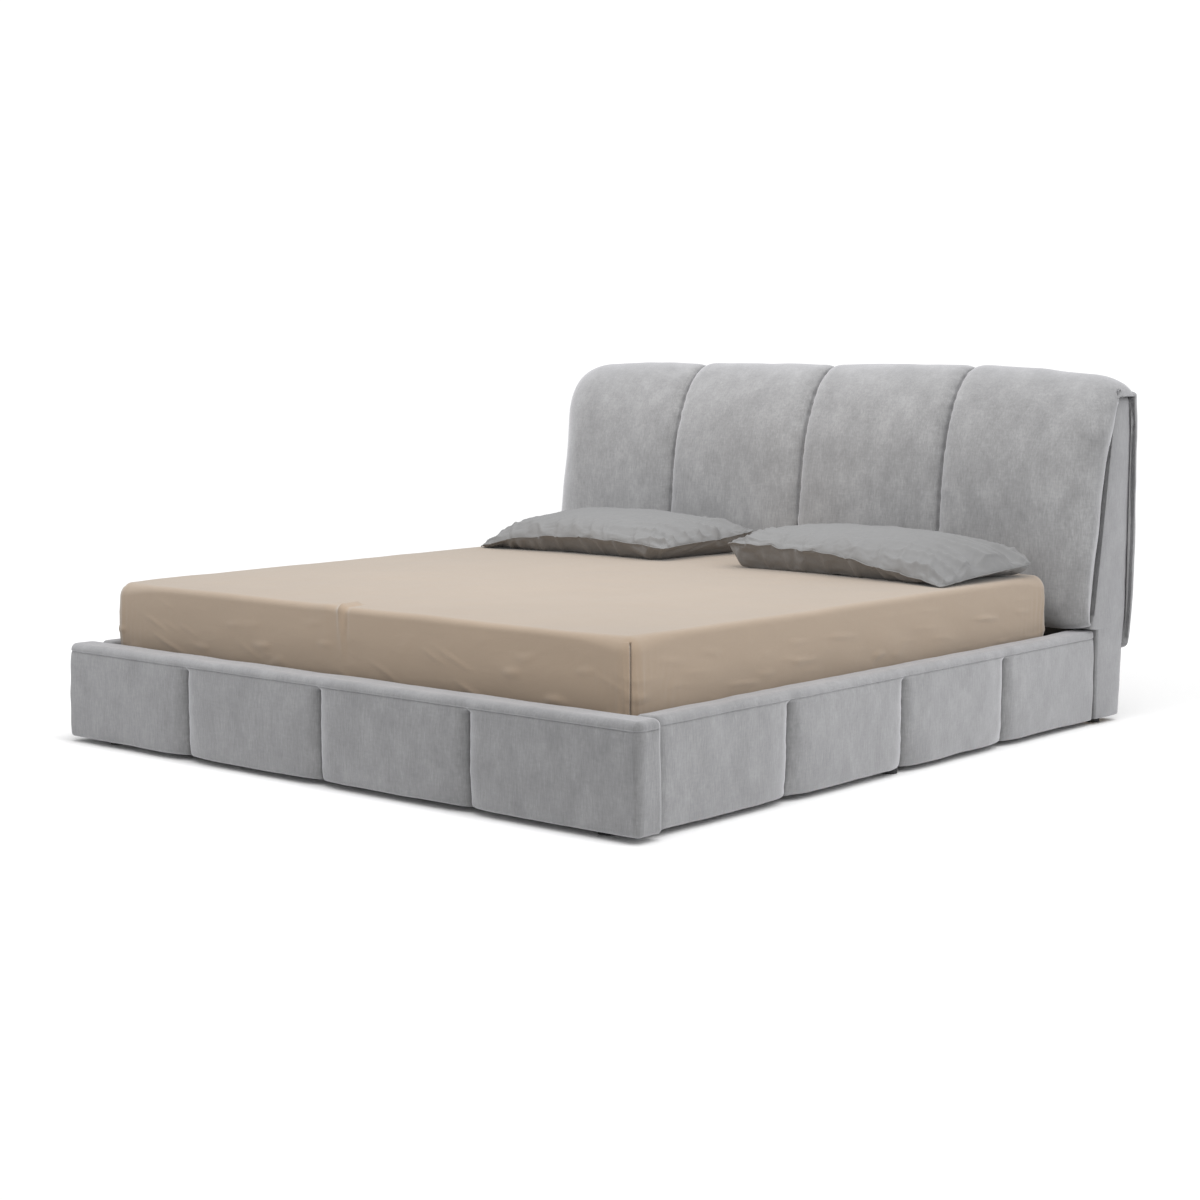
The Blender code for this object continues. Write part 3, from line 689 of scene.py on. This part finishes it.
def make_back_pad():
    back = FABRIC_CLEARANCE
    inner = [(core_rear(0.23) + back, 0.23), (core_rear(0.38) + back, 0.38),
             (core_rear(0.62) + back, 0.62), (core_rear(0.86) + back, 0.86),
             (core_rear(0.979) + back, 0.979)]

    def closing_line(rim):
        return np.column_stack([core_rear(rim[:, 1]) + back, np.clip(rim[:, 1], 0.23, 0.979)])

    piece, seams, count, samples = swept("headboard_rear_pad", CHENILLE_PAD_PAINTED_PALER,
                                         (PAD_FULL, PAD_SEAM, PAD_RIM), inner, 0.03, 110,
                                         closing_line, 0.010, 0)
    outer = is_outer(piece, count, samples)

    def relief(points, normals):
        from_seam = seam_distance(points[:, 0], seams)
        amount = -0.003 * np.exp(-from_seam / 0.004)
        amount += 0.0010 * ripple(points, 0.30, 31) + 0.0005 * ripple(points, 0.08, 32)
        return np.where(outer, amount, 0.0)

    push(piece, relief)
    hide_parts("headboard_back_pad")


def make_core():
    """The fabric-covered slab behind the cushion, open underneath."""
    low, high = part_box("headboard_cover")
    half = high[0]
    height = CORE_TOP
    thickness = CORE_THICKNESS
    xs = stations([-half, half], 0.003, 0.03, 0.2)
    depths = stations([0.0, thickness], 0.003, 0.012, 0.3)
    zs = stations([0.0, CORE_STEP_HEIGHT, height], 0.003, 0.02, 0.2)
    base, quads = lattice(xs, depths, zs)
    points, out = rounded(base, (-half, 0, 0), (half, thickness, height), CORE_ROUND)
    z = points[:, 2]
    upper = smoothstep(z, CORE_STEP_HEIGHT - 0.002, CORE_STEP_HEIGHT + 0.002)
    above = core_front(np.maximum(z, CORE_STEP_HEIGHT))
    front = CORE_FOOT_FRONT + (above - CORE_FOOT_FRONT) * upper
    share = points[:, 1] / thickness
    rear = core_rear(z) - 0.0010
    side = np.abs(out[:, 0]) > 0.6
    belly = 0.003 * (4 * np.clip(share, 0, 1) * (1 - np.clip(share, 0, 1)) - 1) * side
    points[:, 0] += np.sign(out[:, 0]) * belly
    points[:, 1] = front + (rear - front) * share + FOOT_Y
    points[:, 2] += FLOOR_GAP - RAIL_HANG * smoothstep(z, 0.10, 0.0)
    open_below = quads[~np.all(base[quads][:, :, 2] < 1e-6, axis=1)]
    piece = new_piece("headboard_core_cover", points, open_below, CHENILLE_CORE_PAINTED_DARKER, "bed_frame")
    reshape(piece, drop_loose)

    def relief(points, normals):
        return 0.0010 * ripple(points, 0.28, 41) + 0.0004 * ripple(points, 0.07, 42)

    push(piece, relief)
    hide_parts("headboard_cover")


# Bedding ---------------------------------------------------------------------------------------

SHEET_EDGE = 0.020  # rounding of the sheet's upper edge
SHEET_CORNER = 0.044  # and of its upper corners
SHEET_PLEAT_X = -0.02  # the pleat in the middle of the foot edge
HEM_RADIUS = 0.0025
PILLOW_SEAM_RADIUS = 0.0017
PILLOW_EASE = 0.86  # how much closer the mesh's lines stand near the seam, 1 at most
CRUMPLE_FRAMES = 14  # steps of the pillows' cloth simulation
CRUMPLE_MOST = 0.010  # how far the simulation may move the cloth


def make_sheet():
    """A fitted sheet stretched over the mattress, with an elastic hem round its lower edge."""
    low, high = np.array(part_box("fitted_sheet"))
    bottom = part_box("mattress")[0][2]
    low[2] = bottom
    radius = 0.040
    xs = stations([low[0], high[0]], 0.0013, 0.0095, 0.16)
    ys = stations([low[1], high[1]], 0.0013, 0.0095, 0.16)
    zs = stations([low[2], high[2]], 0.004, 0.0065, 0.3)
    base, quads = lattice(xs, ys, zs)
    from_corner = np.hypot(np.minimum(base[:, 0] - low[0], high[0] - base[:, 0]),
                           np.minimum(base[:, 1] - low[1], high[1] - base[:, 1]))
    edge = SHEET_EDGE + (SHEET_CORNER - SHEET_EDGE) * np.exp(-(from_corner / 0.12) ** 2)
    edge = radius + (edge - radius) * smoothstep(base[:, 2], high[2] - 0.10, high[2] - 0.045)
    points, out = rounded(base, low, high, edge)
    height = (points[:, 2] - low[2]) / (high[2] - low[2])
    top = np.clip(out[:, 2], 0, 1)
    sides = 1 - np.abs(out[:, 2])
    # the top is slightly crowned and the sides bulge a little between top and bottom
    half_x, half_y = (high[0] - low[0]) / 2, (high[1] - low[1]) / 2
    middle_y = (low[1] + high[1]) / 2
    crown = (1 - (points[:, 0] / half_x) ** 4) * (1 - ((points[:, 1] - middle_y) / half_y) ** 4)
    points[:, 2] += 0.006 * np.clip(crown, 0, 1) * top
    points -= out * (0.004 * (2 * height - 1.05) ** 2 * sides)[:, None]
    # stretched creases: long shallow pulls low on the sides, small pleats at the corners
    lower = smoothstep(height, 0.95, 0.50)
    drag = ripple(points, 0.085, 51, stretch=(3.0, 3.0, 1.0))
    sharp = np.maximum(0, ripple(points, 0.045, 52, stretch=(2.6, 2.6, 0.9)) - 0.7)
    patches = smoothstep(ripple(points, 0.55, 53), -0.2, 0.9)
    leaning = points + 0.4 * points[:, [2, 2, 0]]
    slant = np.maximum(0, ripple(leaning, 0.040, 57, stretch=(4, 4, 0.8)) - 0.7)
    points += out * ((0.0010 * drag + 0.0040 * sharp * patches + 0.0036 * slant * (1 - patches))
                     * lower * sides)[:, None]
    corner_x = half_x - np.abs(points[:, 0])
    corner_y = half_y - np.abs(points[:, 1] - middle_y)
    from_corner = np.maximum(corner_x, corner_y)
    pleats = np.sin(2 * np.pi * (points[:, 0] + points[:, 1]) / 0.022
                    + 1.8 * ripple(points, 0.10, 54))
    near = np.exp(-(from_corner / 0.14) ** 2) * smoothstep(from_corner, 0.012, 0.03)
    points += out * (0.0016 * pleats * near * sides * smoothstep(height, 1.0, 0.5))[:, None]
    # the sewn corner: one side laps over the other in a narrow ridge
    lap = (corner_x - corner_y)
    at_corner = (from_corner < 0.05) & (sides > 0.3)
    ridge = (0.0030 * np.exp(-np.maximum(lap, 0) / 0.012) * (lap > 0)
             - 0.0085 * np.exp(-(lap / 0.0030) ** 2))
    points += out * np.where(at_corner, ridge, 0.0)[:, None]
    # the pleat in the middle of the foot edge
    at_pleat = points[:, 0] - SHEET_PLEAT_X - 0.02 * (1 - height)
    foot_side = np.clip(-out[:, 1], 0, 1) + np.clip(out[:, 2], 0, 1) * (points[:, 1] < low[1] + 0.07)
    fold = (0.0085 * np.exp(-(at_pleat / 0.010) ** 2)
            - 0.0055 * np.exp(-((at_pleat - 0.015) / 0.007) ** 2)
            + 0.0020 * np.exp(-((at_pleat + 0.06) / 0.04) ** 2))
    points += out * (fold * foot_side * smoothstep(height, 0.35, 0.95))[:, None]
    # gentle unevenness of the top
    points[:, 2] += top * (0.0010 * ripple(points, 0.45, 55) + 0.0004 * ripple(points, 0.16, 56))
    keep = quads[np.all(points[quads][:, :, 2] > bottom + 0.006, axis=1)]
    piece = new_piece("sheet_fitted", points, keep, SHEET_COTTON, "mattress")
    reshape(piece, drop_loose)
    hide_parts("fitted_sheet")
    hem = []
    for side_low, side_high, fixed, axis in (
            (low[0], high[0], low[1], 0), (low[1], high[1], high[0], 1),
            (high[0], low[0], high[1], 0), (high[1], low[1], low[0], 1)):
        for t in np.linspace(0, 1, 90, endpoint=False):
            place = [0.0, 0.0, bottom + 0.008]
            place[axis] = side_low + (side_high - side_low) * t
            place[1 - axis] = fixed
            place, _ = rounded(np.array([place]), low, high, radius)
            hem.append(place[0])
    hem_piece = tube("sheet_elastic_hem", hem, HEM_RADIUS, SHEET_COTTON, "mattress")


def make_mattress():
    low, high = np.array(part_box("mattress"))
    radius = 0.052
    under_sheet = np.array([0.008, 0.008, 0.003])  # room for the sheet's creases
    low[:2] += under_sheet[:2]
    high -= under_sheet
    xs = stations([low[0], high[0]], 0.008, 0.04, 0.2)
    ys = stations([low[1], high[1]], 0.008, 0.04, 0.2)
    zs = stations([low[2], high[2]], 0.008, 0.02, 0.2)
    base, quads = lattice(xs, ys, zs)
    points, out = rounded(base, low, high, radius)
    quilt = np.abs(np.sin(points[:, 0] * math.pi / 0.14) * np.sin(points[:, 1] * math.pi / 0.14)) ** 0.5
    points[:, 2] += np.clip(-out[:, 2], 0, 1) * 0.002 * (1 - quilt)
    piece = new_piece("mattress_block", points, quads, TICKING, "mattress")
    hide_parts("mattress")


def fold_lines(along, away, spacing, reach, seed):
    """Narrow creases that leave a seam at right angles and fade with the distance from it."""
    flat = np.column_stack([along, away, np.zeros(len(along))])
    waves = ripple(flat, spacing, seed, stretch=(1, 6, 1))
    ridges = 1 - np.abs(np.tanh(1.6 * waves))
    return (ridges ** 2 - 0.35) * np.exp(-(away / reach) ** 2)


def pillow_form(length, depth, thickness, columns, rows, front_seam, rear_seam, fullness, seed):
    """A filled pillowcase lying on a sheet: points, outward quads and the seam's ids.

    The two layers meet in a seam round the border, whose height above the sheet goes along the
    front and rear edges as listed, from the left end to the right.
    """
    u, v = (np.sin(np.linspace(-1, 1, count + 1) * math.pi / 2 * PILLOW_EASE)
            / math.sin(math.pi / 2 * PILLOW_EASE) for count in (columns, rows))
    u, v = (grid.ravel() for grid in np.meshgrid(u, v))
    corner = np.abs(u * v) ** 9
    x = u * length / 2 * (1 - 0.030 * (1 - v ** 4) - 0.035 * corner)
    y = v * depth / 2 * (1 - 0.045 * (1 - u ** 4) - 0.060 * corner)
    share = (u + 1) / 2
    front = np.interp(share, np.linspace(0, 1, len(front_seam)), front_seam)
    rear = np.interp(share, np.linspace(0, 1, len(rear_seam)), rear_seam)
    middle = front + (rear - front) * (v + 1) / 2
    along = np.column_stack([x, 0.3 * y, np.zeros(len(x))])
    middle = np.maximum(middle + 0.0025 * ripple(along, 0.11, seed + 5), 0.002)
    full_end = np.where(u < 0, fullness[0], fullness[1])
    fill = (np.clip(1 - np.abs(u) ** full_end, 0, 1) * np.clip(1 - np.abs(v) ** 3.0, 0, 1)) ** 0.55
    crown = 0.94 + 0.12 * (1 - u ** 2) * (1 - v ** 2)
    upper = middle + (thickness - middle) * fill * crown
    # creases run in from the seams, on the upper and the lower layer
    from_end, from_side = (1 - np.abs(u)) * length / 2, (1 - np.abs(v)) * depth / 2
    lower = middle * np.clip(1 - np.minimum(from_end, from_side) / 0.060, 0, 1) ** 1.35
    folds = 0.013 * fold_lines(x + 0.35 * from_side, from_side, 0.12, 0.090, seed)
    folds += (np.where(u < 0, 0.016, 0.028)
              * fold_lines(y + 0.2 * from_end, from_end, 0.095, 0.170, seed + 1))
    place = np.column_stack([x, y, np.zeros(len(x))])
    folds += 0.0035 * ripple(place, 0.25, seed + 2) + 0.0006 * ripple(place, 0.08, seed + 3)
    border = np.isclose(np.abs(u), 1) | np.isclose(np.abs(v), 1)
    inside = np.clip(np.minimum(from_end, from_side) / 0.02, 0, 1)
    upper = np.column_stack([x, y, upper + folds * inside])
    under = 0.022 * fold_lines(x + 0.3, from_side, 0.13, 0.08, seed + 4)
    lower = np.column_stack([x, y, lower - under * inside])
    lower[:, 2] = np.maximum(lower[:, 2], 0.0)
    ids = np.arange(len(upper)).reshape(rows + 1, columns + 1)
    lower_ids = np.full(len(upper), -1)
    lower_ids[border] = np.arange(len(upper))[border]
    lower_ids[~border] = len(upper) + np.arange((~border).sum())
    points = np.concatenate([upper, lower[~border]])
    low = lower_ids.reshape(rows + 1, columns + 1)
    quads = []
    for grid, flip in ((ids, False), (low, True)):
        a, b, c, d = grid[:-1, :-1], grid[:-1, 1:], grid[1:, 1:], grid[1:, :-1]
        corners = (a, d, c, b) if flip else (a, b, c, d)
        quads.append(np.stack([corner.ravel() for corner in corners], axis=1))
    rim = list(ids[0, :]) + list(ids[1:, -1]) + list(ids[-1, -2::-1]) + list(ids[-2:0:-1, 0])
    return points, np.concatenate(quads), rim


def crumple(piece, rim, most):
    """Lets the filled case settle as cloth: it is a little too big, so it creases."""
    scene = bpy.context.scene
    mesh = piece.data
    start = read_points(mesh)
    bpy.ops.mesh.primitive_plane_add(size=4.0, location=(0, 0, -0.004))
    table = bpy.context.object
    table.modifiers.new("hit", "COLLISION")
    table.collision.thickness_outer = 0.002
    trial = add_object(piece.name + "_trial", mesh.copy())
    pinned = trial.vertex_groups.new(name="seam")
    pinned.add([int(i) for i in rim], 0.35, "REPLACE")
    cloth = trial.modifiers.new("cloth", "CLOTH")
    settings = cloth.settings
    settings.vertex_group_mass = "seam"
    settings.pin_stiffness = 0.5
    settings.quality = 6
    settings.mass = 0.001
    settings.tension_stiffness = 15
    settings.compression_stiffness = 15
    settings.shear_stiffness = 5
    settings.bending_stiffness = 0.08
    settings.air_damping = 2
    settings.shrink_min = -0.030
    settings.use_pressure = True
    settings.uniform_pressure_force = 0.0
    settings.pressure_factor = 12.0
    settings.effector_weights.gravity = 0.3
    cloth.collision_settings.use_collision = True
    cloth.collision_settings.distance_min = 0.002
    cloth.point_cache.frame_start = 1
    cloth.point_cache.frame_end = 20
    for number in range(1, CRUMPLE_FRAMES + 1):
        scene.frame_set(number)
    evaluated = trial.evaluated_get(bpy.context.evaluated_depsgraph_get())
    settled = read_points(bpy.data.meshes.new_from_object(evaluated))
    moved = settled - start
    distance = np.linalg.norm(moved, axis=1)
    scale = most * np.tanh(distance / most) / np.maximum(distance, 1e-9)
    seam = start[rim]
    reach = np.min(np.linalg.norm(start[:, None, :2] - seam[None, ::4, :2], axis=2), axis=1)
    scale *= 0.30 + 0.70 * np.exp(-(reach / 0.08) ** 2)
    write_points(mesh, start + moved * scale[:, None])
    scene.frame_set(1)
    bpy.data.objects.remove(trial)
    bpy.data.objects.remove(table)


def make_pillow(name, node, length, depth, turn, shift, front_seam, rear_seam, fullness, seed):
    low, high = np.array(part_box(node))
    middle = (low + high) / 2
    points, quads, rim = pillow_form(length, depth, high[2] - low[2], 120, 70, front_seam, rear_seam,
                                     fullness, seed)
    piece = new_piece(name, points, quads, PILLOW_COTTON, node)
    crumple(piece, rim, CRUMPLE_MOST)
    points = read_points(piece.data)
    points[:, 2] = np.maximum(points[:, 2], 0.0)
    place = np.array([middle[0] + shift, middle[1], low[2] + 0.001])
    points = points @ about_z(math.radians(turn)).T + place
    write_points(piece.data, points)
    refine = piece.modifiers.new("smooth", "SUBSURF")
    refine.levels = refine.render_levels = 1
    tube(name + "_seam", points[rim], PILLOW_SEAM_RADIUS, PILLOW_COTTON, node)
    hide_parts(node)


# Base ------------------------------------------------------------------------------------------

def dress_frame():
    """Materials and softened edges for the timber, steel and plastic pieces of the frame."""
    for name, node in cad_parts.items():
        if name in ("mattress", "fitted_sheet") or name.startswith("pillow") or "cover" in name:
            continue
        if name in ("headboard_cushion", "headboard_back_pad"):
            continue
        if name.startswith(("slat_left", "slat_right")):
            material, edge = BIRCH, 0.003
        elif name.startswith(("corner_bracket", "beam_hanger")):
            material, edge = ZINC, 0.0008
        elif name.startswith(("foot_front", "foot_middle", "foot_rear", "centre_leg")):
            material, edge = PLASTIC, 0.002
        elif name.startswith(("side_rail", "slat_bearer", "centre_beam")):
            material, edge = PINE_ALONG, 0.0015
        elif name.startswith("headboard_post"):
            material, edge = PINE_UP, 0.0015
        elif name == "headboard_front_board":
            material, edge = BIRCH, 0.001
        else:
            material, edge = PINE_ACROSS, 0.0015
        node.data.materials.clear()
        node.data.materials.append(material)
        for slot in node.material_slots:
            slot.material = material
        bevel = node.modifiers.new("soft_edges", "BEVEL")
        bevel.width = edge
        bevel.segments = 2
        bevel.limit_method = "ANGLE"
        bevel.angle_limit = math.radians(40)


# Stage -----------------------------------------------------------------------------------------

AMBIENT = 0.58  # the surround as a light
SURROUND_SEEN = 1.1  # and as the camera sees it
FLOOR_SEEN = 1.05  # the floor's reflectance to the camera
FLOOR_BOUNCE = 0.92  # and for bounced light


def make_floor():
    """A plain white floor, the same all over; the camera sees it a little overexposed."""
    mesh = bpy.data.meshes.new("floor")
    mesh.from_pydata([(-60, -60, 0), (60, -60, 0), (60, 60, 0), (-60, 60, 0)], [], [(0, 1, 2, 3)])
    add_object("floor", mesh)
    material = bpy.data.materials.new("white_floor")
    material.use_nodes = True
    tree = material.node_tree
    seen, bounce = (tree.nodes.new("ShaderNodeBsdfDiffuse") for _ in range(2))
    seen.inputs["Color"].default_value = (FLOOR_SEEN, FLOOR_SEEN, FLOOR_SEEN, 1.0)
    bounce.inputs["Color"].default_value = (FLOOR_BOUNCE, FLOOR_BOUNCE, FLOOR_BOUNCE, 1.0)
    path = tree.nodes.new("ShaderNodeLightPath")
    mix = tree.nodes.new("ShaderNodeMixShader")
    tree.links.new(path.outputs["Is Camera Ray"], mix.inputs[0])
    tree.links.new(bounce.outputs[0], mix.inputs[1])
    tree.links.new(seen.outputs[0], mix.inputs[2])
    tree.nodes.remove(tree.nodes["Principled BSDF"])
    tree.links.new(mix.outputs[0], tree.nodes["Material Output"].inputs["Surface"])
    mesh.materials.append(material)


def make_surround():
    world = bpy.data.worlds.new("studio")
    bpy.context.scene.world = world
    world.use_nodes = True
    tree = world.node_tree
    surround = tree.nodes["Background"]
    surround.inputs["Color"].default_value = (1.0, 1.0, 1.0, 1.0)
    path = tree.nodes.new("ShaderNodeLightPath")
    strength = tree.nodes.new("ShaderNodeMapRange")
    strength.inputs["To Min"].default_value = AMBIENT
    strength.inputs["To Max"].default_value = SURROUND_SEEN
    tree.links.new(path.outputs["Is Camera Ray"], strength.inputs["Value"])
    tree.links.new(strength.outputs[0], surround.inputs["Strength"])


def add_light(name, kind, power, direction):
    """A light in the given direction from the bed, turned to shine back along it."""
    holder = add_object(name, bpy.data.lights.new(name, kind))
    holder.data.energy = power
    across, along, up = direction
    holder.rotation_euler = (math.acos(up / math.sqrt(across ** 2 + along ** 2 + up ** 2)), 0.0,
                             math.atan2(along, across) + math.pi / 2)
    return holder


def make_lamp(name, direction, spread, power):
    """A very large, far softbox."""
    add_light(name, "SUN", power, direction).data.angle = math.radians(spread)


def make_softbox(name, place, aim, size, power):
    holder = add_light(name, "AREA", power, [a - b for a, b in zip(place, aim)])
    holder.location = place
    holder.data.shape = "RECTANGLE"
    holder.data.size, holder.data.size_y = size


def make_camera():
    bpy.context.scene.view_settings.view_transform = "Standard"
    camera = bpy.data.cameras.new("camera")
    camera.lens = CAMERA_LENS
    camera.sensor_width = 36.0
    eye = add_object("camera", camera)
    eye.location = CAMERA_PLACE
    eye.rotation_euler = [math.radians(angle) for angle in CAMERA_TURN]
    bpy.context.scene.camera = eye


make_floor()
make_surround()
make_lamp("key", direction=(0.58, -0.14, 1.0), spread=70, power=1.5)
make_softbox("over_the_mattress", place=(0.0, -0.9, 2.7), aim=(0.0, 0.95, 0.85), size=(2.4, 1.0),
             power=47.0)
make_camera()
make_rails()
make_cushion()
make_back_pad()
make_core()
make_mattress()
make_sheet()
make_pillow("left_pillow", "pillow_left", length=0.85, depth=0.50, turn=-1.0, shift=0.003,
            front_seam=(0.004, 0.044, 0.062, 0.066, 0.058, 0.046),
            rear_seam=(0.02, 0.06, 0.07, 0.07, 0.07, 0.075), fullness=(2.1, 3.6), seed=61)
make_pillow("right_pillow", "pillow_right", length=0.83, depth=0.50, turn=-3.0, shift=0.018,
            front_seam=(0.082, 0.084, 0.078, 0.062, 0.036, 0.003),
            rear_seam=(0.06, 0.07, 0.07, 0.07, 0.055, 0.040), fullness=(4.6, 2.6), seed=71)
dress_frame()
